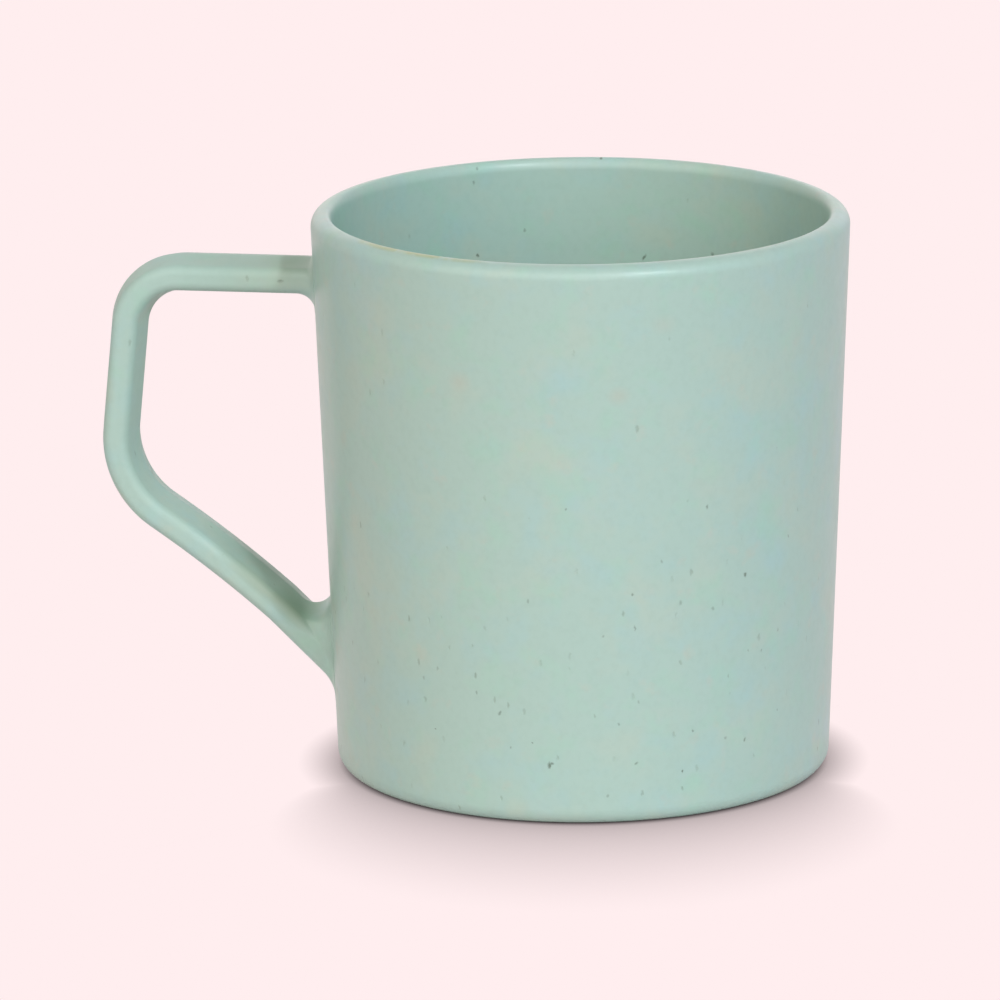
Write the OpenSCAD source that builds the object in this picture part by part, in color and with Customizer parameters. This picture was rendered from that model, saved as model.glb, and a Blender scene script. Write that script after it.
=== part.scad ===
// A straight-sided mug with a thin angular handle, moulded in a plant-fibre composite.
// Millimetres, +Z up. The origin is on the table, under the middle of the cup.
// The handle lies along -X, and its middle plane is the XZ plane.

/* [Cup] */
// Height of the cup, from the table to the top of the rim
cup_h = 90; // [82:1:100]
// Outside diameter at the height of the rim
rim_d = 85.4; // [79:0.2:92]
// Outside diameter at the table, before the bottom edge is rounded
base_d = 78.4; // [70:0.2:82]
// Thickness of the side wall
wall = 3.5; // [2.6:0.1:4.2]
// Width of the round inside the rim, whose outer shoulder takes the rest of the wall
rim_in_w = 1.2; // [0.6:0.1:1.6]
// Height of the round inside the rim
rim_in_h = 2; // [0.8:0.1:3]
// Thickness of the floor, measured above the hollow under it
floor_t = 3.6; // [2.6:0.1:5]
// Radius of the outer bottom edge
base_round = 2.7; // [1.5:0.1:3.5]
// Radius where the inside wall meets the floor
inner_round = 6; // [3:0.5:10]

/* [Foot] */
// Width of the flat ring that the mug stands on
foot_w = 4; // [2.5:0.5:7]
// Depth of the hollow inside the foot ring
hollow_h = 1.2; // [0.6:0.1:2]
// Width of the slope between the foot ring and the hollow
hollow_slope_w = 1; // [0.4:0.1:2]

/* [Handle] */
// Distance from the top of the rim down to the middle of the top arm
arm_below_rim = 11.7; // [9:0.1:16]
// Distance from the cup's axis to the corner where the top arm and the post would meet
corner_x = 71.9; // [68:0.1:76]
// Outward lean of the post towards its foot, in degrees
post_lean = 5.7; // [0:0.5:9]
// Length of the post, from corner to corner
post_l = 34.4; // [31:0.1:37]
// Slope of the lower arm where it leaves the post, in degrees below level
arm_drop = 34; // [28:1:38]
// Radius of the slow curve that steepens the lower arm towards the cup
bow_r = 200; // [160:5:400]
// Radius of the top bend, to the middle of the bar
top_bend_r = 8.8; // [6:0.2:11]
// Radius of the low bend, to the middle of the bar
low_bend_r = 15; // [9:0.5:18]

/* [Handle bar] */
// Depth of the bar from its front face to its back face
bar_w = 11.5; // [9:0.5:14]
// Thickness of the bar at its middle plane, where the two halves of the mould meet
bar_t = 5.9; // [4.8:0.1:6.6]
// Draft of the bar's faces away from the middle plane, in degrees
bar_draft = 10.5; // [4:0.5:12]
// Radius of the bar's long edges
bar_round = 1.6; // [0.4:0.1:2]

/* [Handle roots] */
// Radius in the corner above the top arm
top_root_over_r = 1; // [0.6:0.1:2]
// Radius in the corner under the top arm
top_root_under_r = 3.2; // [1:0.1:3.4]
// Radius in the narrow corner above the lower arm
low_root_in_r = 3.1; // [1:0.1:3.4]
// Radius in the open corner under the lower arm
low_root_out_r = 7; // [4:0.5:10]
// Radius between the bar's front and back faces and the cup
root_side_r = 2.5; // [1:0.1:3.5]

/* [Hidden] */
$fn = 96;
cup_colour = [0.69, 0.79, 0.74];
handle_colour = [0.63, 0.76, 0.71];

// The side leans out from the base to the rim. These are its radius at a height,
// and a unit step straight out of it.
function heading(a) = [cos(a), sin(a)];
lean = atan((rim_d - base_d) / 2 / cup_h);
function side_r(z) = base_d / 2 + z * tan(lean);
out_step = heading(-lean);

// Half of the cup's section, with radius to the right and height up. The two rounds of the rim
// meet at its crown. The inner one starts on the inside of the wall, and the outer one has the
// radius that takes it from the crown to the side.
arc_steps = 8;
rim_in_c = [side_r(cup_h - rim_in_h) - wall / cos(lean) + rim_in_w, cup_h - rim_in_h];
rim_out_r = (side_r(cup_h) - rim_in_c[0]) * cos(lean) / (1 + sin(lean));
rim_out_c = [rim_in_c[0], cup_h - rim_out_r];
base_c = [side_r(base_round) - base_round / cos(lean), base_round];
hollow_r = base_c[0] - foot_w;
floor_z = hollow_h + floor_t;
inner_z = floor_z + inner_round;
inner_c = [side_r(inner_z) - (wall + inner_round) / cos(lean), inner_z];
// The points of an arc, after the one that it starts from
function arc(c, r, from, to) =
    [for (i = [1:arc_steps]) c + r * heading(from + (to - from) * i / arc_steps)];
// The round inside the rim is a quarter of an ellipse, from the crown down to the wall.
rim_inside = [
    for (i = [1:arc_steps])
        let (a = 90 + 90 * i / arc_steps)
        rim_in_c + [rim_in_w * cos(a), rim_in_h * sin(a)]
];
cup_section = concat(
    [[0, hollow_h], [hollow_r - hollow_slope_w, hollow_h], [hollow_r, 0], [base_c[0], 0]],
    arc(base_c, base_round, -90, -lean),
    [rim_out_c + rim_out_r * out_step],
    arc(rim_out_c, rim_out_r, -lean, 90),
    rim_inside,
    [inner_c + inner_round * out_step],
    arc(inner_c, inner_round, -lean, -90),
    [[0, floor_z]]
);

// The handle's middle line lies in one plane, with x outwards from the cup's axis.
arm_z = cup_h - arm_below_rim;
post_dir = post_lean - 90;
arm_dir = arm_drop - 180;
low_turn = arm_dir - post_dir;
top_cut = top_bend_r * tan(-post_dir / 2);
low_cut = low_bend_r * tan(-low_turn / 2);
top_corner = [corner_x, arm_z];
low_corner = top_corner + post_l * heading(post_dir);
top_bend_c = top_corner - [top_cut, top_bend_r];
low_bend_c = low_corner - low_cut * heading(post_dir) + low_bend_r * heading(post_dir - 90);
bow_c = low_corner + low_cut * heading(arm_dir) + bow_r * heading(arm_dir + 90);
// Height at which the lower arm's curve meets the side
function bow_meets_side() =
    let (k = tan(lean))
    let (x = side_r(0) - bow_c[0])
    let (a = 1 + k * k)
    let (b = k * x - bow_c[1])
    let (c = x * x + bow_c[1] * bow_c[1] - bow_r * bow_r)
    (sqrt(b * b - a * c) - b) / a;
low_z = bow_meets_side();
low_angle = atan2(low_z - bow_c[1], side_r(low_z) - bow_c[0]);

// The bar's outline: a drafted face on each side of the middle plane, and rounded long edges.
// Each entry is the centre of a round and the angle of a point on it.
round_steps = 4;
edge_y = bar_w / 2 - bar_round;
edge_x = bar_t / 2 - (bar_round + edge_y * sin(bar_draft)) / cos(bar_draft);
ridge_x = bar_t / 2 - bar_round;
function edge(c, from, to) = [for (i = [0:round_steps]) [c, from + (to - from) * i / round_steps]];
outline = concat(
    [[[ridge_x, 0], 0]],
    edge([edge_x, edge_y], bar_draft, 90),
    edge([-edge_x, edge_y], 90, 180 - bar_draft),
    [[[-ridge_x, 0], 180]],
    edge([-edge_x, -edge_y], 180 + bar_draft, 270),
    edge([edge_x, -edge_y], 270, 360 - bar_draft)
);

// A station is a point of the middle line and the bar's heading there. A section's own x runs
// to the right of that heading, and its own y is the depth.
top_bend_steps = 12;
low_bend_steps = 10;
bow_steps = 6;
function to_space(v, a) = [v[0] * sin(a), v[1], -v[0] * cos(a)];
function place(station, v) = [station[0][0], 0, station[0][1]] + to_space(v, station[1]);
function outline_point(station, o) = place(station, o[0] + bar_round * heading(o[1]));
function rim_of(station) = [for (o = outline) outline_point(station, o)];
function bend(c, r, from, to, side, steps) = [
    for (i = [0:steps])
        let (a = from + (to - from) * i / steps)
        rim_of([c + r * heading(a), a + 90 * side])
];

// Roots: every line along the bar meets the side at one point, and there a round joins the two.
// The station is where the middle line meets the side, heading into it, with one radius to the
// right of the heading and one to the left, which pass into that of the front and back faces.
// The rounds end a hair under the side, so that the skin passes through it at a clear angle.
fillet_steps = 6;
root_sink = 0.05;
function seat_r(z) = side_r(z) - root_sink / cos(lean);
function meet_side(p, d) =
    let (k = tan(lean))
    let (r = seat_r(p[2]))
    let (a = d[0] * d[0] - k * k * d[2] * d[2])
    let (b = p[0] * d[0] - k * d[2] * r)
    let (c = p[0] * p[0] + p[1] * p[1] - r * r)
    p + d * (sqrt(b * b - a * c) - b) / a;
function unit(v) = v / norm(v);
function side_normal(p) = unit([p[0], p[1], -tan(lean) * norm([p[0], p[1]])]);
function root_round(station, o, right_r, left_r) =
    let (out = [-cos(station[1]), 0, -sin(station[1])])
    let (p = meet_side(outline_point(station, o), out))
    let (n = side_normal(p))
    let (away = to_space(heading(o[1]), station[1]))
    let (along = unit(away - out * (away * n) / (out * n)))
    let (near_r = cos(o[1]) > 0 ? right_r : left_r)
    let (r = root_side_r + (near_r - root_side_r) * abs(cos(o[1])))
    let (half = acos(out * along) / 2)
    let (c = p + unit(out + along) * r / sin(half))
    let (from = p + out * r / tan(half) - c)
    let (to = p + along * r / tan(half) - c)
    let (sweep = 180 - 2 * half)
    [for (i = [0:fillet_steps])
        let (t = i / fillet_steps)
        c + (from * sin((1 - t) * sweep) + to * sin(t * sweep)) / sin(sweep)];
function root_rings(station, right_r, left_r) =
    let (rounds = [for (o = outline) root_round(station, o, right_r, left_r)])
    concat(
        [for (i = [0:fillet_steps]) [for (r = rounds) r[i]]],
        [[for (r = rounds) [side_r(0) - wall / 2, r[fillet_steps][1], r[fillet_steps][2]]]]
    );
function reversed(list) = [for (i = [len(list) - 1:-1:0]) list[i]];

top_station = [[side_r(arm_z), arm_z], 180];
low_station = [[side_r(low_z), low_z], low_angle + 90];
// The top root is built heading into the cup, so its outline runs the other way round.
function turned_back(ring) =
    let (n = len(ring))
    [for (i = [0:n - 1]) ring[(n + n / 2 - i) % n]];
top_rings = [
    for (r = reversed(root_rings(top_station, top_root_over_r, top_root_under_r))) turned_back(r)
];
low_rings = root_rings(low_station, low_root_in_r, low_root_out_r);
// Where the widest line of the low root leaves the bar, as an angle round the lower arm's curve
low_reach = max([for (p = low_rings[0]) norm([p[0], p[2]] - low_station[0])]);
bow_end = low_angle - low_reach / bow_r * 180 / PI;

// The cup's outer form as a solid block, which trims the handle to the side
module outer_form() {
    cylinder(h = cup_h, r1 = side_r(0), r2 = side_r(cup_h));
}

// A solid skin over a list of rings of points
module skin(rings) {
    n = len(rings[0]);
    last = (len(rings) - 1) * n;
    sides = [for (i = [0:len(rings) - 2]) for (j = [0:n - 1])
        let (a = i * n + j)
        let (b = i * n + (j + 1) % n)
        each [[a, a + n, b], [b, a + n, b + n]]];
    caps = [for (j = [1:n - 2]) each [[0, j, j + 1], [last, last + j + 1, last + j]]];
    polyhedron([for (r = rings) each r], concat(sides, caps));
}

module cup_body() {
    color(cup_colour)
        rotate_extrude()
            polygon(cup_section);
}

module handle() {
    color(handle_colour)
        rotate([0, 0, 180])
            difference() {
                skin(concat(
                    top_rings,
                    bend(top_bend_c, top_bend_r, 90, 90 + post_dir, -1, top_bend_steps),
                    bend(low_bend_c, low_bend_r, 90 + post_dir, 90 + arm_dir, -1, low_bend_steps),
                    bend(bow_c, bow_r, arm_dir + 270, bow_end, 1, bow_steps),
                    low_rings
                ));
                outer_form();
            }
}

cup_body();
handle();
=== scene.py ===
import math

import bmesh
import bpy
from mathutils import Matrix, Vector


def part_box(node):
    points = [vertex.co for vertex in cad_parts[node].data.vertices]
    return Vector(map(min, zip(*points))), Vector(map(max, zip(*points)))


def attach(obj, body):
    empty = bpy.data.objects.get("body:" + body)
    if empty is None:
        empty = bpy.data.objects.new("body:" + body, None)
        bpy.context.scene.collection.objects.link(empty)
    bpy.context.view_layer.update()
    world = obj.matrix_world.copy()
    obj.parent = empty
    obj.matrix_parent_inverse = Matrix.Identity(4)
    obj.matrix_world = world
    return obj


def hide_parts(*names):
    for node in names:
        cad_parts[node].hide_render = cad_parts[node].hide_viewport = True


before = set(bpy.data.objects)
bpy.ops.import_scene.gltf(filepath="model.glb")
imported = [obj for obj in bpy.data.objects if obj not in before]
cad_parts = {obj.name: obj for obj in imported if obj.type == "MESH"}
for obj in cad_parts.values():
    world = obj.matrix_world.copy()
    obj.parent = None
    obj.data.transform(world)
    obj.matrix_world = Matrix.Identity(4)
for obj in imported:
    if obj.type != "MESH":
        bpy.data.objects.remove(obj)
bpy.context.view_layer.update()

MM = 0.001

# How near counts as in place when vertices, edges and faces are picked, and how near vertices
# are merged
NEAR = 0.01 * MM
MERGE = 0.001 * MM

# The cup: its height comes from the frame, and its side leans out from its base to its rim
CUP_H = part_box("cup_body")[1].z
RIM_R = 42.7 * MM
BASE_R = 39.2 * MM
WALL = 3.5 * MM
LEAN = math.atan2(RIM_R - BASE_R, CUP_H)
FLOOR_Z = 4.8 * MM

# Its rim: the round inside is drawn out downwards, and a narrow flat parts it from the shoulder
RIM_IN_W = 1.2 * MM
RIM_IN_H = 2 * MM
RIM_FLAT = 0.02 * MM

# Its base: the rounds outside and inside, and the foot ring round a hollow with sloped sides
BASE_ROUND = 2.7 * MM
INNER_ROUND = 6 * MM
FOOT_W = 4 * MM
HOLLOW_H = 1.2 * MM
HOLLOW_SLOPE_W = 1 * MM
FOOT_EDGE_R = 0.4 * MM

# Facets round the cup and in its rounds, and how far beside a round a flat is held true
CUP_SIDES = 224
RIM_IN_STEPS = 12
RIM_OUT_STEPS = 14
BASE_STEPS = 10
INNER_STEPS = 14
FOOT_EDGE_STEPS = 4
BESIDE = 0.4 * MM

# The handle's middle line, with x outwards from the cup's axis: a level arm, a bend, a post, a
# bend and a lower arm that bows a little
ARM_Z = CUP_H - 11.7 * MM
CORNER_X = 71.9 * MM
POST_LEAN = math.radians(5.7)
POST_L = 34.4 * MM
ARM_DROP = math.radians(34)
BOW_R = 200 * MM
TOP_BEND_R = 8.8 * MM
LOW_BEND_R = 15 * MM
BEND_STEPS = 40
BOW_STEPS = 12

# The bar's section: drafted from the ridge at its middle plane to its front and back faces. An
# edge of it that is longer than FLAT is a flat, not a facet of a round, and gets FLAT_CUTS cuts.
BAR_W = 11.5 * MM
BAR_T = 5.9 * MM
BAR_DRAFT = math.radians(10.5)
BAR_ROUND = 1.6 * MM
BAR_STEPS = 7
RIDGE_ROUND = 0.9 * MM
RIDGE_STEPS = 4
FLAT = 1 * MM
FLAT_CUTS = 3

# Radii where the handle runs into the cup
TOP_ROOT_OVER_R = 1 * MM
TOP_ROOT_UNDER_R = 3.2 * MM
LOW_ROOT_IN_R = 3.1 * MM
LOW_ROOT_OUT_R = 7 * MM
ROOT_SIDE_R = 2.5 * MM
ROOT_STEPS = 14

# How far from the side the bar gives way to its roots' rounds: clear of the upper one's larger
# round, and along the bow of the lower arm
ROOT_CLEAR = 1 * MM
LOW_REACH = 12 * MM

# Each round runs on along the side, tucked just under its surface, before it sinks into the wall
TUCK_L = 0.7 * MM
TUCK_DEPTH = 0.03 * MM
SUNK = 1.5 * MM

# How far the view is turned from straight in front of the mug, away from its handle
VIEW_TURN = math.radians(8.5)

# The floor that lights the mug, the background that the camera sees, and how far from the mug its
# soft shadow reaches. The reach beside the mug grows to the reach in front from the place where
# the cosine of the angle from the front is SHADOW_TURNS.
FLOOR_PLAIN = "#F6EAEB"
BACKGROUND = "#FFEEEF"
SHADOW_BESIDE = 7 * MM
SHADOW_IN_FRONT = 48 * MM
SHADOW_TURNS = 0.35

# The even light of the room, then the studio's lamps: name, azimuth in degrees, 0 at the camera
# and growing to its right, rise and spread in degrees, strength and colour
ROOM_LIGHT = "#FFFFFF"
ROOM_STRENGTH = 0.2
LAMPS = (
    ("left_light", -45, 28, 50, 0.82, "#FDFFF2"),
    ("front_light", 8, 28, 50, 0.98, "#FFF8FA"),
    ("right_light", 50, 28, 50, 0.52, "#8CDCFF"),
    ("small_lamp", 32, 38, 4, 0.85, "#F4FCFF"),
    ("back_light", 180, 15, 60, 0.5, "#FFFFFF"),
)


def side_r(z):
    """The radius of the cup's side at a height."""
    return BASE_R + z * math.tan(LEAN)


# Tools for modelling as by hand

def start(obj, name):
    """Names the fresh primitive in hand, settles its place in its mesh and opens it."""
    obj.name = name
    obj.data.name = name
    bpy.ops.object.transform_apply(location=True, rotation=True, scale=True)
    bpy.ops.object.mode_set(mode="EDIT")
    bpy.ops.mesh.select_all(action="DESELECT")


def pick(obj, kind, test):
    """Selects the vertices, edges or faces of the open mesh whose places pass the test."""
    bpy.ops.mesh.select_mode(type=kind)
    bpy.ops.mesh.select_all(action="DESELECT")
    mesh = bmesh.from_edit_mesh(obj.data)
    items = {"VERT": mesh.verts, "EDGE": mesh.edges, "FACE": mesh.faces}[kind]
    for item in items:
        points = [item.co] if kind == "VERT" else [v.co for v in item.verts]
        if test(points):
            item.select_set(True)
    mesh.select_flush_mode()
    bmesh.update_edit_mesh(obj.data)


def on_level(z):
    """A test for whatever lies all on one level."""
    def test(points):
        return all(abs(p.z - z) < NEAR for p in points)
    return test


def on_ring(radius, z):
    """A test for whatever lies all on one level circle about the cup's axis."""
    def test(points):
        return all(abs(p.z - z) < NEAR and abs(p.xy.length - radius) < NEAR for p in points)
    return test


def round_edge(radius, inside_angle, segments):
    """Rounds the picked edges to a radius, given the angle between their two faces."""
    bpy.ops.mesh.bevel(offset=radius / math.tan(inside_angle / 2), segments=segments,
                       profile=0.5, affect="EDGES", clamp_overlap=False)


def cut_level(z):
    """Cuts the open mesh with a level plane, which holds a flat wall true beside a round."""
    bpy.ops.mesh.select_all(action="SELECT")
    bpy.ops.mesh.bisect(plane_co=(0, 0, z), plane_no=(0, 0, 1))


def close_up():
    """Leaves editing with the faces turned outwards and shaded smooth up to 40 degrees."""
    bpy.ops.mesh.select_all(action="SELECT")
    bpy.ops.mesh.remove_doubles(threshold=MERGE)
    bpy.ops.mesh.normals_make_consistent(inside=False)
    bpy.ops.object.mode_set(mode="OBJECT")
    bpy.ops.object.shade_smooth_by_angle(angle=math.radians(40))


def model_cup():
    """The cup, from one cylinder: inset and sunk for its inside, hollowed under its foot."""
    bpy.ops.object.select_all(action="DESELECT")
    bpy.ops.mesh.primitive_cylinder_add(vertices=CUP_SIDES, radius=BASE_R, depth=CUP_H,
                                        location=(0, 0, CUP_H / 2))
    cup = bpy.context.object
    start(cup, "cup")
    flat_wall = WALL / math.cos(LEAN)
    pick(cup, "FACE", on_level(CUP_H))
    bpy.ops.transform.resize(value=(RIM_R / BASE_R, RIM_R / BASE_R, 1),
                             center_override=(0, 0, CUP_H))
    bpy.ops.mesh.inset(thickness=flat_wall)
    bpy.ops.mesh.extrude_region_move(
        TRANSFORM_OT_translate={"value": (0, 0, FLOOR_Z - CUP_H)})
    shrink = (side_r(FLOOR_Z) - flat_wall) / (RIM_R - flat_wall)
    bpy.ops.transform.resize(value=(shrink, shrink, 1), center_override=(0, 0, FLOOR_Z))

    # The foot: a flat ring round a shallow hollow with sloped sides
    hollow_r = side_r(BASE_ROUND) - BASE_ROUND / math.cos(LEAN) - FOOT_W
    ceiling_r = hollow_r - HOLLOW_SLOPE_W
    pick(cup, "FACE", on_level(0))
    bpy.ops.mesh.inset(thickness=BASE_R - hollow_r)
    bpy.ops.mesh.extrude_region_move(TRANSFORM_OT_translate={"value": (0, 0, HOLLOW_H)})
    bpy.ops.transform.resize(value=(ceiling_r / hollow_r, ceiling_r / hollow_r, 1),
                             center_override=(0, 0, HOLLOW_H))

    # Rounds: a soft shoulder outside the rim, a round drawn out downwards inside it, and the
    # base and floor. The cup's corners are a little under or over square, because its side leans.
    sharp, blunt = math.pi / 2 - LEAN, math.pi / 2 + LEAN
    in_cut = RIM_IN_W / math.tan(blunt / 2)
    shoulder_r = (flat_wall - in_cut - RIM_FLAT) * math.tan(sharp / 2)
    pick(cup, "EDGE", on_ring(RIM_R - flat_wall, CUP_H))
    round_edge(RIM_IN_W, blunt, RIM_IN_STEPS)
    pick(cup, "VERT", lambda ps: CUP_H - RIM_IN_W < ps[0].z < CUP_H - NEAR)
    bpy.ops.transform.resize(value=(1, 1, RIM_IN_H / RIM_IN_W), center_override=(0, 0, CUP_H))
    pick(cup, "EDGE", on_ring(RIM_R, CUP_H))
    round_edge(shoulder_r, sharp, RIM_OUT_STEPS)
    pick(cup, "EDGE", on_ring(BASE_R, 0))
    round_edge(BASE_ROUND, blunt, BASE_STEPS)
    pick(cup, "EDGE", on_ring(side_r(FLOOR_Z) - flat_wall, FLOOR_Z))
    round_edge(INNER_ROUND, blunt, INNER_STEPS)
    slope = math.pi - math.atan2(HOLLOW_H, HOLLOW_SLOPE_W)
    for ring in ((hollow_r, 0), (ceiling_r, HOLLOW_H)):
        pick(cup, "EDGE", on_ring(*ring))
        round_edge(FOOT_EDGE_R, slope, FOOT_EDGE_STEPS)

    # Level cuts and insets beside the rounds, so that the straight wall and flat floor stay true
    for z in (BASE_ROUND + BESIDE, FLOOR_Z + INNER_ROUND + BESIDE, CUP_H - WALL - BESIDE):
        cut_level(z)
    for level in (FLOOR_Z, HOLLOW_H):
        pick(cup, "FACE", lambda ps, flat=on_level(level): len(ps) == CUP_SIDES and flat(ps))
        bpy.ops.mesh.inset(thickness=BESIDE)
    close_up()
    return cup


# The handle's plane, with x outwards from the cup's axis and z up. Its angles are from outwards
# to up.

def heading(angle):
    """The direction at an angle in the handle's plane."""
    return Vector((math.cos(angle), math.sin(angle)))


def in_space(point):
    """A point of the handle's plane in the mug's frame, where the handle lies along -X."""
    return Vector((-point[0], 0, point[1]))


class HandlePath:
    """The middle line: its headings, corners and bend centres, and where it meets the side."""

    post = POST_LEAN - math.pi / 2
    arm = ARM_DROP - math.pi
    top_cut = TOP_BEND_R * math.tan(-post / 2)
    low_cut = LOW_BEND_R * math.tan((post - arm) / 2)
    top_corner = Vector((CORNER_X, ARM_Z))
    low_corner = top_corner + POST_L * heading(post)
    top_centre = top_corner - Vector((top_cut, TOP_BEND_R))
    low_centre = (low_corner - low_cut * heading(post)
                  + LOW_BEND_R * heading(post - math.pi / 2))
    bow_start = low_corner + low_cut * heading(arm)
    bow_centre = bow_start + BOW_R * heading(arm + math.pi / 2)

    @classmethod
    def bow_meets_side(cls):
        """The angle on the bow's circle at which it meets the cup's side."""
        k = math.tan(LEAN)
        x = side_r(0) - cls.bow_centre.x
        a = 1 + k * k
        b = k * x - cls.bow_centre.y
        c = x * x + cls.bow_centre.y ** 2 - BOW_R ** 2
        z = (math.sqrt(b * b - a * c) - b) / a
        return math.atan2(z - cls.bow_centre.y, side_r(z) - cls.bow_centre.x)


def meet_side(point, direction):
    """Where a line into the cup meets its side."""
    k = math.tan(LEAN)
    r = side_r(point.z)
    a = direction.x ** 2 + direction.y ** 2 - (k * direction.z) ** 2
    b = point.x * direction.x + point.y * direction.y - k * direction.z * r
    c = point.x ** 2 + point.y ** 2 - r * r
    return point + direction * (-math.sqrt(b * b - a * c) - b) / a


def side_normal(point):
    """The outward direction of the cup's side at one of its points."""
    return Vector((point.x, point.y, -math.tan(LEAN) * point.xy.length)).normalized()


def outward(outline, i):
    """The outward direction of a closed outline, given as offsets in its plane, at one point."""
    before, after = outline[i - 1], outline[(i + 1) % len(outline)]
    along = (after - before).normalized()
    across = Vector((along.y, -along.x))
    return across if across.dot(outline[i]) > 0 else -across


def end_loops(mesh):
    """The open ends of a tube, each as the places of its points in order round the opening."""
    edges = [edge for edge in mesh.edges if edge.is_boundary]
    loops = []
    while edges:
        loop = list(edges.pop(0).verts)
        while True:
            step = next((edge for edge in edges if loop[-1] in edge.verts), None)
            if step is None:
                break
            edges.remove(step)
            loop.append(step.other_vert(loop[-1]))
        loops.append([vert.co.copy() for vert in loop[:-1]])
    return loops


def root_rings(loop, station, angle, right_r, left_r):
    """Rings of points that carry the bar's end into the cup's side with a round all about it.

    The station is where the middle line meets the side, and angle its heading there. The
    rounds' radii are those on the right and on the left of that heading.
    """
    into = in_space(heading(angle))
    right = in_space(heading(angle - math.pi / 2))
    middle = in_space(station)
    outline = [Vector(((point - middle).dot(right), point.y)) for point in loop]
    runs = []
    for i, point in enumerate(loop):
        meets = meet_side(point, into)
        normal = side_normal(meets)
        facing = outward(outline, i)
        away = right * facing.x + Vector((0, facing.y, 0))
        along = (away - into * away.dot(normal) / into.dot(normal)).normalized()
        near_r = right_r if facing.x > 0 else left_r
        radius = ROOT_SIDE_R + (near_r - ROOT_SIDE_R) * abs(facing.x)
        half = (-into).angle(along) / 2
        centre = meets + (along - into).normalized() * radius / math.sin(half)
        first = meets - into * radius / math.tan(half) - centre
        last = meets + along * radius / math.tan(half) - centre
        sweep = math.pi - 2 * half
        run = []
        for n in range(ROOT_STEPS + 1):
            turned = n / ROOT_STEPS * sweep
            run.append(centre + (first * math.sin(sweep - turned) + last * math.sin(turned))
                       / math.sin(sweep))
        tucked = run[-1] + along * TUCK_L - normal * TUCK_DEPTH
        runs.append(run + [tucked, tucked - normal * SUNK])
    return list(zip(*runs))


def model_handle():
    """The handle, drawn from one plane: its outline is shaped, then extruded and spun along."""
    path = HandlePath
    face_t = BAR_T - BAR_W * math.tan(BAR_DRAFT)
    begin = side_r(ARM_Z) + TOP_ROOT_UNDER_R + ROOT_CLEAR
    bpy.ops.object.select_all(action="DESELECT")
    bpy.ops.mesh.primitive_plane_add(size=1, location=in_space((begin, ARM_Z)),
                                     rotation=(0, math.pi / 2, 0))
    bar = bpy.context.object
    bar.scale = (face_t, BAR_W, 1)
    start(bar, "handle_bar")

    # The ridge at the middle plane, the round edges, and cuts that keep the flats' facets small
    pick(bar, "EDGE", lambda ps: abs(ps[0].z - ps[1].z) < NEAR)
    bpy.ops.mesh.subdivide(number_cuts=1)
    bpy.ops.mesh.select_all(action="SELECT")
    bpy.ops.mesh.dissolve_faces()
    pick(bar, "VERT", lambda ps: abs(ps[0].y) < NEAR)
    bpy.ops.transform.resize(value=(1, 1, BAR_T / face_t),
                             center_override=in_space((begin, ARM_Z)))
    bpy.ops.mesh.bevel(offset=RIDGE_ROUND * math.tan(BAR_DRAFT), segments=RIDGE_STEPS,
                       profile=0.5, affect="VERTICES")
    pick(bar, "VERT", lambda ps: abs(ps[0].y) > BAR_W / 2 - NEAR)
    bpy.ops.mesh.bevel(offset=BAR_ROUND / math.tan(math.pi / 4 + BAR_DRAFT / 2),
                       segments=BAR_STEPS, profile=0.5, affect="VERTICES")
    pick(bar, "EDGE", lambda ps: (ps[0] - ps[1]).length > FLAT)
    bpy.ops.mesh.subdivide(number_cuts=FLAT_CUTS)
    bpy.ops.mesh.select_all(action="SELECT")
    bpy.ops.mesh.dissolve_faces()
    bpy.ops.mesh.delete(type="ONLY_FACE")
    bpy.ops.mesh.select_mode(type="EDGE")
    bpy.ops.mesh.select_all(action="SELECT")

    # Along the arm, round the top bend, down the post, round the low bend and along the bow
    def draw(length, angle):
        bpy.ops.mesh.extrude_region_move(
            TRANSFORM_OT_translate={"value": in_space(heading(angle) * length)})

    def turn(centre, angle, steps):
        bpy.ops.mesh.spin(steps=steps, angle=abs(angle), center=in_space(centre),
                          axis=(0, -math.copysign(1, angle), 0))

    draw(path.top_corner.x - path.top_cut - begin, 0)
    turn(path.top_centre, path.post, BEND_STEPS)
    draw(POST_L - path.top_cut - path.low_cut, path.post)
    turn(path.low_centre, path.arm - path.post, BEND_STEPS)
    meets = path.bow_meets_side()
    turn(path.bow_centre, meets - LOW_REACH / BOW_R - (path.arm + 1.5 * math.pi), BOW_STEPS)

    # The rounds at the two roots, and the ends closed inside the cup's wall
    top = Vector((side_r(ARM_Z), ARM_Z))
    low = path.bow_centre + BOW_R * heading(meets)
    roots = ((top, math.pi, TOP_ROOT_OVER_R, TOP_ROOT_UNDER_R),
             (low, meets + math.pi / 2, LOW_ROOT_IN_R, LOW_ROOT_OUT_R))
    ends = end_loops(bmesh.from_edit_mesh(bar.data))
    ends.sort(key=lambda loop: -loop[0].z)
    for loop, root in zip(ends, roots):
        pick(bar, "EDGE", lambda ps, loop=loop: all(p in loop for p in ps))
        for ring in root_rings(loop, *root):
            bpy.ops.mesh.extrude_region_move()
            mesh = bmesh.from_edit_mesh(bar.data)
            for vert in mesh.verts:
                if vert.select:
                    vert.co = ring[loop.index(vert.co)]
            bmesh.update_edit_mesh(bar.data)
            loop = list(ring)
        bpy.ops.mesh.edge_face_add()
    close_up()
    return bar


def srgb(code):
    """Turns an sRGB hex colour to the linear values that the shaders take."""
    def linear(c):
        return c / 12.92 if c <= 0.04045 else ((c + 0.055) / 1.055) ** 2.4
    return tuple(linear(int(code[i:i + 2], 16) / 255) for i in (1, 3, 5)) + (1,)


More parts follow.
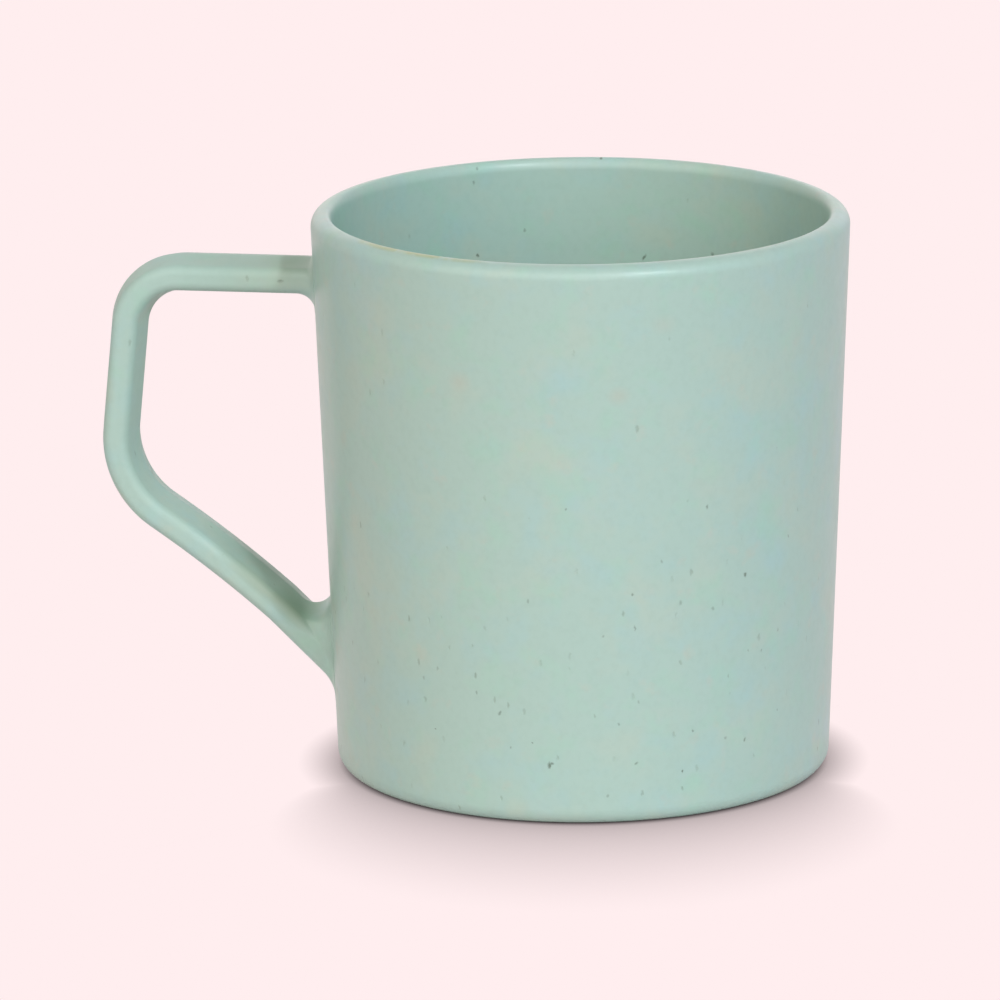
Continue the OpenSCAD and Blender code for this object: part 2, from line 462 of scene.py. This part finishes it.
def add(tree, kind, settings=None, **links):
    """Adds a node with its settings, and links or sets its sockets.

    A socket goes by its name, with _ for a space, or by _ and its place, as in _0. On a Map
    Range, _1 to _4 are the value's two ends and what they become. On a Mix of colours, _0 is
    how much of the second colour, _7, lies over the first, _6.
    """
    node = tree.nodes.new(kind)
    for name, value in (settings or {}).items():
        setattr(node, name, value)
    for name, value in links.items():
        by_place = name[1:].isdigit()
        socket = node.inputs[int(name[1:]) if by_place else name.replace("_", " ")]
        if isinstance(value, bpy.types.NodeSocket):
            tree.links.new(value, socket)
        else:
            socket.default_value = value
    return node


# The resin's sage, and the clouds in it where fibre of another colour lies: colour, size across,
# seed, the noise at which a cloud begins and is full, and how far it then covers
SAGE = "#AFC7BB"
CLOUDS = (
    ("#C3C6B2", 11 * MM, 1.3, 0.5, 0.75, 0.45),
    ("#A2C8CC", 8 * MM, 4.1, 0.5, 0.75, 0.4),
    ("#A0CFB4", 6 * MM, 7.7, 0.52, 0.75, 0.38),
    ("#D0BBA8", 4 * MM, 9.2, 0.6, 0.78, 0.25),
)
GROUND_FIBRE = ("#8FA89A", 1.1 * MM, 2.6, 0.45, 0.75, 0.12)

# Places are disordered by up to this much, in grains of this size, so that no fleck has a drawn
# outline
DISORDER = 0.3 * MM
GRAIN = 0.7 * MM

# The olive along the round inside the rim, front left: its colour, the middle, half sizes and
# even core of its stretch, how far inside the rim's edge it begins and is full, and its
# patches' cloud
OLIVE = "#A6AE74"
OLIVE_PLACE = (-21.5 * MM, -34.5 * MM, CUP_H)
OLIVE_HALVES = (15 * MM, 15 * MM, 1.6 * MM)
OLIVE_CORE = 0.6
OLIVE_BEGINS = 1.1 * MM
OLIVE_FULL = 1.7 * MM
OLIVE_CLOUD = (3 * MM, 5.5, 0.35, 0.55, 0.75)

# Small bits at random: one to a cell of this size, drawn out upright, with its core's and its
# edge's distance from the cell's middle in cells. Most cells low down have one, and few high up.
BIT = "#6F7B66"
BIT_CELL = 2.4 * MM
BIT_DRAWN_OUT = 0.45
BIT_CORE, BIT_EDGE = 0.06, 0.13
LOW_Z, LOW_SHARE = 30 * MM, 0.75
HIGH_Z, HIGH_SHARE = 60 * MM, 0.12
BIT_FAINTEST, BIT_DARKEST = 0.05, 0.4

# Bits of husk and stem placed one by one: their colour, half their depth, the factors on their
# listed sizes and darkness, and how much of a bit and of a stain or patch of painted shade is its
# even core
HUSK = "#4F5A48"
HUSK_DEPTH = 0.7 * MM
HUSK_SPREAD = 0.58
HUSK_DARK = 0.85
HUSK_CORE = 0.4
SHADE_AND_STAIN_CORE = 0.2

# Satin: the roughness of the cup and of the handle, where the one turns to the other, the cloud
# that varies it, and the relief's grain and depth with the pits' depth
CUP_ROUGH, CUP_ENDS_X = 0.32, -42 * MM
BAR_ROUGH, BAR_BEGINS_X = 0.5, -47 * MM
SHEEN_CLOUD = (2.5 * MM, 3.3, 0.3, 0.7, 0.08)
RELIEF = 0.9 * MM
RELIEF_DEPTH = 0.02 * MM
PIT_DEPTH = 0.1 * MM

# Dark bits of husk and stem, as the photograph shows them on the cup's side. Each has its
# azimuth in degrees from the front, its height, width and length in millimetres, its tilt to
# the right in degrees, and how dark it is.
SIDE_FLECKS = (
    (0.8, 9.9, 0.6, 1.2, 8, 0.9), (1.4, 10.2, 0.6, 0.7, 60, 0.7), (-10.5, 18, 0.5, 0.9, 35, 0.6),
    (47, 38.5, 0.6, 0.8, -15, 0.8), (31.5, 8, 0.45, 0.6, 10, 0.9), (-16, 21, 0.5, 0.6, -30, 0.5),
    (20.5, 10, 0.45, 0.8, 65, 0.6), (-3.5, 36.5, 0.4, 0.8, 5, 0.4), (14, 5, 0.45, 0.6, 0, 0.4),
    (30.5, 35.5, 0.6, 0.8, 0, 0.4), (38.5, 34, 0.5, 0.7, -10, 0.4), (20, 32, 0.35, 1.0, 5, 0.5),
    (13, 31, 0.45, 0.5, 0, 0.4), (26, 42.5, 0.4, 0.8, -10, 0.4), (36.5, 50.5, 0.5, 0.7, 15, 0.6),
    (5, 51.5, 0.35, 0.5, 20, 0.5), (60.5, 43, 0.35, 0.6, -20, 0.5), (58.5, 15, 0.35, 0.4, 0, 0.5),
    (52.5, 25.5, 0.4, 0.7, 5, 0.5), (48.5, 26, 0.35, 0.5, 0, 0.4), (16.5, 16.5, 0.4, 0.6, 0, 0.5),
    (11, 18, 0.4, 0.9, -10, 0.3), (21, 20, 0.4, 0.6, 0, 0.35), (-26, 24, 0.35, 1.0, 5, 0.35),
    (-30, 22, 0.45, 0.8, -15, 0.35), (-27, 14, 0.35, 0.35, 0, 0.8), (-3, 13.5, 0.35, 0.3, 0, 0.8),
    (-8, 12.5, 0.35, 0.4, 0, 0.5), (34, 14.5, 0.4, 0.5, -25, 0.6), (48, 11.5, 0.5, 0.9, 30, 0.4),
    (42.5, 12.5, 0.45, 0.6, -45, 0.4), (43, 22.5, 0.35, 0.9, 0, 0.35),
    (19.5, 37.5, 0.4, 0.5, -50, 0.6),
)
# The same inside the cup, on the rim and on the handle, with the distance from the axis first
OTHER_FLECKS = (
    (38.6, -146, 75, 0.6, 0.8, 0, 0.8), (38.8, -158, 78.5, 0.5, 0.7, 0, 0.5),
    (39, -145.5, 87, 0.4, 0.8, 0, 0.5), (39.4, -146.5, 89.2, 0.6, 0.5, 0, 0.5),
    (38.6, 173, 74, 0.5, 1.2, -30, 0.8), (38.6, 155, 75.5, 0.6, 0.7, 0, 0.6),
    (40, -176.5, 89.9, 0.6, 0.5, 0, 0.8), (47.6, -83, 78.4, 0.35, 0.5, 20, 0.5),
    (57.9, -84.5, 78.8, 0.35, 0.6, 0, 0.25),
)
# Soft patches: place in the mug's frame, half sizes, all in millimetres, turn about Y in degrees,
# colour and strength. The first five are painted shade, darker and greener in the handle's narrow
# corners, near its roots and along the front edge of its lower arm; the last three are pale
# stains.
SHADE_AND_STAINS = (
    ((-52, -1, 31), (12, 7.5, 3.8), 41, "#7F9C88", 0.6),
    ((-45.4, -4, 24.8), (5.2, 6, 3.2), 41, "#6A8C6A", 0.6),
    ((-50, -5.5, 27.4), (12, 2.2, 1.6), 41, "#95A28D", 0.65),
    ((-50, -2, 79.5), (17, 9, 5.5), 0, "#8CA695", 0.4),
    ((-45.5, -2, 80.5), (5, 5, 2), 0, "#7FA587", 0.4),
    ((-13, -39.7, 71), (2.4, 2, 2), 0, "#C9AE98", 0.2),
    ((11.8, -40.1, 69.5), (2.2, 2, 1.8), 0, "#C9AE98", 0.2),
    ((18.4, -37.8, 80.5), (2.6, 2, 2), 0, "#C5B29E", 0.15),
)


def fleck(tree, place, centre, halves, turns, core, darkness):
    """How far a fleck, stain or patch of painted shade covers: darkness in its core, falling to 0
    at its edge.
    """
    local = add(tree, "ShaderNodeMapping", {"vector_type": "TEXTURE"}, Vector=place,
                Location=centre, Rotation=turns, Scale=halves)
    reach = add(tree, "ShaderNodeVectorMath", {"operation": "LENGTH"}, _0=local.outputs[0])
    return add(tree, "ShaderNodeMapRange", Value=reach.outputs["Value"],
               _1=core, _2=1.0, _3=darkness, _4=0.0).outputs[0]


def cloud(tree, place, size, seed, begins, full, most):
    """A soft cloud of cover over patches of a size, from 0 up to its most."""
    noise = add(tree, "ShaderNodeTexNoise", {"noise_dimensions": "4D"}, Vector=place, W=seed,
                Scale=1 / size, Detail=3.0, Roughness=0.55)
    return add(tree, "ShaderNodeMapRange", Value=noise.outputs[0], _1=begins, _2=full,
               _3=0.0, _4=most).outputs[0]


def ragged_places(tree, place):
    """Places moved a little each way, grain by grain."""
    grit = add(tree, "ShaderNodeTexNoise", Vector=place, Scale=1 / GRAIN, Detail=2.0)
    spread = add(tree, "ShaderNodeVectorMath", {"operation": "MULTIPLY_ADD"},
                 _0=grit.outputs["Color"], _1=(2 * DISORDER,) * 3, _2=place)
    return add(tree, "ShaderNodeVectorMath", {"operation": "SUBTRACT"},
               _0=spread.outputs[0], _1=(DISORDER,) * 3).outputs[0]


def rim_olive(tree, place):
    """How far the olive covers, in patches along the round inside the rim."""
    level = add(tree, "ShaderNodeVectorMath", {"operation": "MULTIPLY"}, _0=place, _1=(1, 1, 0))
    reach = add(tree, "ShaderNodeVectorMath", {"operation": "LENGTH"}, _0=level.outputs[0])
    inner = add(tree, "ShaderNodeMapRange", Value=reach.outputs["Value"],
                _1=RIM_R - OLIVE_BEGINS, _2=RIM_R - OLIVE_FULL, _3=0.0, _4=1.0)
    stretch = fleck(tree, place, OLIVE_PLACE, OLIVE_HALVES, (0, 0, 0), OLIVE_CORE, 1.0)
    lip = add(tree, "ShaderNodeMath", {"operation": "MULTIPLY"}, _0=inner.outputs[0], _1=stretch)
    return add(tree, "ShaderNodeMath", {"operation": "MULTIPLY"}, _0=lip.outputs[0],
               _1=cloud(tree, place, *OLIVE_CLOUD)).outputs[0]


def random_bits(tree, ragged, height):
    """Where the small bits at random lie, and how far each covers."""
    upright = add(tree, "ShaderNodeVectorMath", {"operation": "MULTIPLY"}, _0=ragged,
                  _1=(1, 1, BIT_DRAWN_OUT))
    cells = add(tree, "ShaderNodeTexVoronoi", Vector=upright.outputs[0], Scale=1 / BIT_CELL)
    bit = add(tree, "ShaderNodeMapRange", Value=cells.outputs["Distance"],
              _1=BIT_CORE, _2=BIT_EDGE, _3=1.0, _4=0.0)
    luck = add(tree, "ShaderNodeSeparateColor", Color=cells.outputs["Color"])
    share = add(tree, "ShaderNodeMapRange", Value=height,
                _1=LOW_Z, _2=HIGH_Z, _3=LOW_SHARE, _4=HIGH_SHARE)
    chosen = add(tree, "ShaderNodeMath", {"operation": "LESS_THAN"}, _0=luck.outputs[0],
                 _1=share.outputs[0])
    shade = add(tree, "ShaderNodeMapRange", Value=luck.outputs[1],
                _1=0.0, _2=1.0, _3=BIT_FAINTEST, _4=BIT_DARKEST)
    shown = add(tree, "ShaderNodeMath", {"operation": "MULTIPLY"}, _0=bit.outputs[0],
                _1=chosen.outputs[0]).outputs[0]
    cover = add(tree, "ShaderNodeMath", {"operation": "MULTIPLY"}, _0=shown,
                _1=shade.outputs[0]).outputs[0]
    return shown, cover


def placed_husk(tree, ragged):
    """How far the bits of husk cover that show one by one."""
    everywhere = [(side_r(height * MM) / MM, azimuth, height, *rest)
                  for azimuth, height, *rest in SIDE_FLECKS] + list(OTHER_FLECKS)
    cover = None
    for radius, azimuth, height, width, length, tilt, darkness in everywhere:
        turn = math.radians(azimuth)
        centre = (radius * math.sin(turn) * MM, -radius * math.cos(turn) * MM, height * MM)
        halves = (HUSK_SPREAD * width * MM, HUSK_DEPTH, HUSK_SPREAD * length * MM)
        one = fleck(tree, ragged, centre, halves, (0, math.radians(tilt), turn), HUSK_CORE,
                    HUSK_DARK * darkness)
        cover = one if cover is None else add(
            tree, "ShaderNodeMath", {"operation": "MAXIMUM"}, _0=cover, _1=one).outputs[0]
    return cover


def plant_fibre_composite():
    """Ground plant fibre in a sage resin, pressed in a mould with a fine satin surface.

    The eye sees an even matt sage with a slight sheen, faint clouds of blue, green and tan where
    the fibre lies thicker or thinner, an olive trace where the compound is thinnest, inside the
    rim, and sparse dark bits of husk, mostly upright, which the compound carried down towards
    the base. The smallest bits leave tiny pits.
    """
    material = bpy.data.materials.new("plant_fibre_composite")
    material.use_nodes = True
    tree = material.node_tree
    shader = tree.nodes["Principled BSDF"]
    place = add(tree, "ShaderNodeTexCoord").outputs["Object"]
    along = add(tree, "ShaderNodeSeparateXYZ", _0=place)
    ragged = ragged_places(tree, place)
    pitted, bit_cover = random_bits(tree, ragged, along.outputs[2])

    # The colours that lie over the sage, one after another, and how far each covers
    layers = [(code, cloud(tree, place, *shape)) for code, *shape in CLOUDS]
    code, *shape = GROUND_FIBRE
    layers.append((code, cloud(tree, ragged, *shape)))
    layers.append((OLIVE, rim_olive(tree, place)))
    # The first five patches are painted shade in the handle's corners and by its roots; the rest
    # are pale stains
    for centre, halves, turn, code, strength in SHADE_AND_STAINS:
        layers.append((code, fleck(
            tree, place, [c * MM for c in centre], [h * MM for h in halves],
            (0, math.radians(turn), 0), SHADE_AND_STAIN_CORE, strength)))
    layers.append((BIT, bit_cover))
    layers.append((HUSK, placed_husk(tree, ragged)))
    colour = srgb(SAGE)
    for code, cover in layers:
        colour = add(tree, "ShaderNodeMix", {"data_type": "RGBA"}, _0=cover, _6=colour,
                     _7=srgb(code)).outputs[2]
    tree.links.new(colour, shader.inputs["Base Color"])

    # Satin: a slight sheen that varies with the fibre, over a relief of a few microns. The
    # handle's half of the mould is less polished than the cup's turned core and cavity.
    gloss = cloud(tree, place, *SHEEN_CLOUD)
    finish = add(tree, "ShaderNodeMapRange", Value=along.outputs[0],
                 _1=CUP_ENDS_X, _2=BAR_BEGINS_X, _3=CUP_ROUGH, _4=BAR_ROUGH)
    rough = add(tree, "ShaderNodeMath", {"operation": "ADD"}, _0=gloss, _1=finish.outputs[0])
    tree.links.new(rough.outputs[0], shader.inputs["Roughness"])
    relief = add(tree, "ShaderNodeTexNoise", Vector=place, Scale=1 / RELIEF, Detail=3.0)
    bump = add(tree, "ShaderNodeBump", Strength=0.15, Distance=RELIEF_DEPTH,
               Height=relief.outputs[0])
    pits = add(tree, "ShaderNodeBump", {"invert": True}, Strength=0.5, Distance=PIT_DEPTH,
               Height=pitted, Normal=bump.outputs[0])
    tree.links.new(pits.outputs[0], shader.inputs["Normal"])
    shader.inputs["IOR"].default_value = 1.5
    return material


def build_camera():
    """The photograph's view: a long lens, a little above the rim, with the handle on the left."""
    distance, rise = 1.4, math.radians(13.7005)
    pan, tilt, roll = math.radians(-0.5496), math.radians(0.286), math.radians(-0.477)
    aim_z = 50 * MM
    down = rise + tilt
    forward = Vector((math.sin(pan) * math.cos(down), math.cos(pan) * math.cos(down),
                      -math.sin(down)))
    level = forward.cross(Vector((0, 0, 1))).normalized()
    above = level.cross(forward)
    right = math.cos(roll) * level + math.sin(roll) * above
    up = -math.sin(roll) * level + math.cos(roll) * above
    data = bpy.data.cameras.new("camera")
    data.lens = 316.99
    data.sensor_width = 36
    camera = bpy.data.objects.new("camera", data)
    bpy.context.scene.collection.objects.link(camera)
    place = Vector((0, -distance * math.cos(rise), aim_z + distance * math.sin(rise)))
    axes = Matrix((right, up, -forward)).transposed().to_4x4()
    camera.matrix_world = (Matrix.Rotation(VIEW_TURN, 4, "Z")
                           @ Matrix.Translation(place) @ axes)
    bpy.context.scene.camera = camera


def soft_lamp(name, azimuth, rise, spread, strength, colour):
    """A far, wide studio light."""
    data = bpy.data.lights.new(name, "SUN")
    data.angle = math.radians(spread)
    data.energy = strength
    data.color = srgb(colour)[:3]
    lamp = bpy.data.objects.new(name, data)
    bpy.context.scene.collection.objects.link(lamp)
    turn, lift = math.radians(azimuth) + VIEW_TURN, math.radians(rise)
    away = Vector((math.sin(turn) * math.cos(lift), -math.cos(turn) * math.cos(lift),
                   math.sin(lift)))
    lamp.rotation_euler = away.to_track_quat("Z", "Y").to_euler()


def build_floor():
    """A pale pink floor that fills the view and keeps the mug's shadow."""
    bpy.ops.object.select_all(action="DESELECT")
    bpy.ops.mesh.primitive_plane_add(size=12, location=(0, 0, 0))
    floor = bpy.context.object
    floor.name = "floor"
    material = bpy.data.materials.new("pale_floor")
    material.use_nodes = True
    tree = material.node_tree
    tree.nodes.clear()
    # The mug is lit by a plain matt floor. What the camera and the mug's sheen see is the pale
    # pink of the background, with the mug's soft shadow, narrow beside it and wide in front.
    plain = add(tree, "ShaderNodeBsdfDiffuse", Color=srgb(FLOOR_PLAIN))
    spot = add(tree, "ShaderNodeTexCoord")
    outwards = add(tree, "ShaderNodeVectorMath", {"operation": "NORMALIZE"},
                   _0=spot.outputs["Object"])
    forwards = add(tree, "ShaderNodeVectorMath", {"operation": "DOT_PRODUCT"},
                   _0=outwards.outputs[0], _1=(math.sin(VIEW_TURN), -math.cos(VIEW_TURN), 0))
    reach = add(tree, "ShaderNodeMapRange", Value=forwards.outputs["Value"],
                _1=SHADOW_TURNS, _2=1.0, _3=SHADOW_BESIDE, _4=SHADOW_IN_FRONT)
    open_sky = add(tree, "ShaderNodeAmbientOcclusion", {"samples": 24},
                   Color=srgb(BACKGROUND), Distance=reach.outputs[0])
    seen = add(tree, "ShaderNodeEmission", Color=open_sky.outputs["Color"], Strength=1.0)
    mixed = add(tree, "ShaderNodeMixShader", Fac=seen_rays(tree),
                _1=plain.outputs[0], _2=seen.outputs[0])
    add(tree, "ShaderNodeOutputMaterial", Surface=mixed.outputs[0])
    floor.data.materials.append(material)


def seen_rays(tree):
    """1 for what the camera sees, directly or in a reflection, and 0 for what lights the mug."""
    ray = add(tree, "ShaderNodeLightPath")
    return add(tree, "ShaderNodeMath", {"operation": "MAXIMUM"}, _0=ray.outputs["Is Camera Ray"],
               _1=ray.outputs["Is Glossy Ray"]).outputs[0]


def build_room():
    """The even light that comes from the whole room, and the pale backdrop that shows in it."""
    world = bpy.data.worlds.new("room")
    bpy.context.scene.world = world
    world.use_nodes = True
    tree = world.node_tree
    tree.nodes.clear()
    light = add(tree, "ShaderNodeBackground", Color=srgb(ROOM_LIGHT), Strength=ROOM_STRENGTH)
    seen = add(tree, "ShaderNodeBackground", Color=srgb(BACKGROUND), Strength=1.0)
    mixed = add(tree, "ShaderNodeMixShader", Fac=seen_rays(tree),
                _1=light.outputs[0], _2=seen.outputs[0])
    add(tree, "ShaderNodeOutputWorld", Surface=mixed.outputs[0])


bpy.context.scene.view_settings.view_transform = "Standard"
build_camera()
build_floor()
build_room()
for lamp in LAMPS:
    soft_lamp(*lamp)

composite = plant_fibre_composite()
cup = model_cup()
handle = model_handle()
for piece, node in ((cup, "cup_body"), (handle, "handle")):
    piece.data.materials.clear()
    piece.data.materials.append(composite)
    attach(piece, "root")
    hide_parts(node)
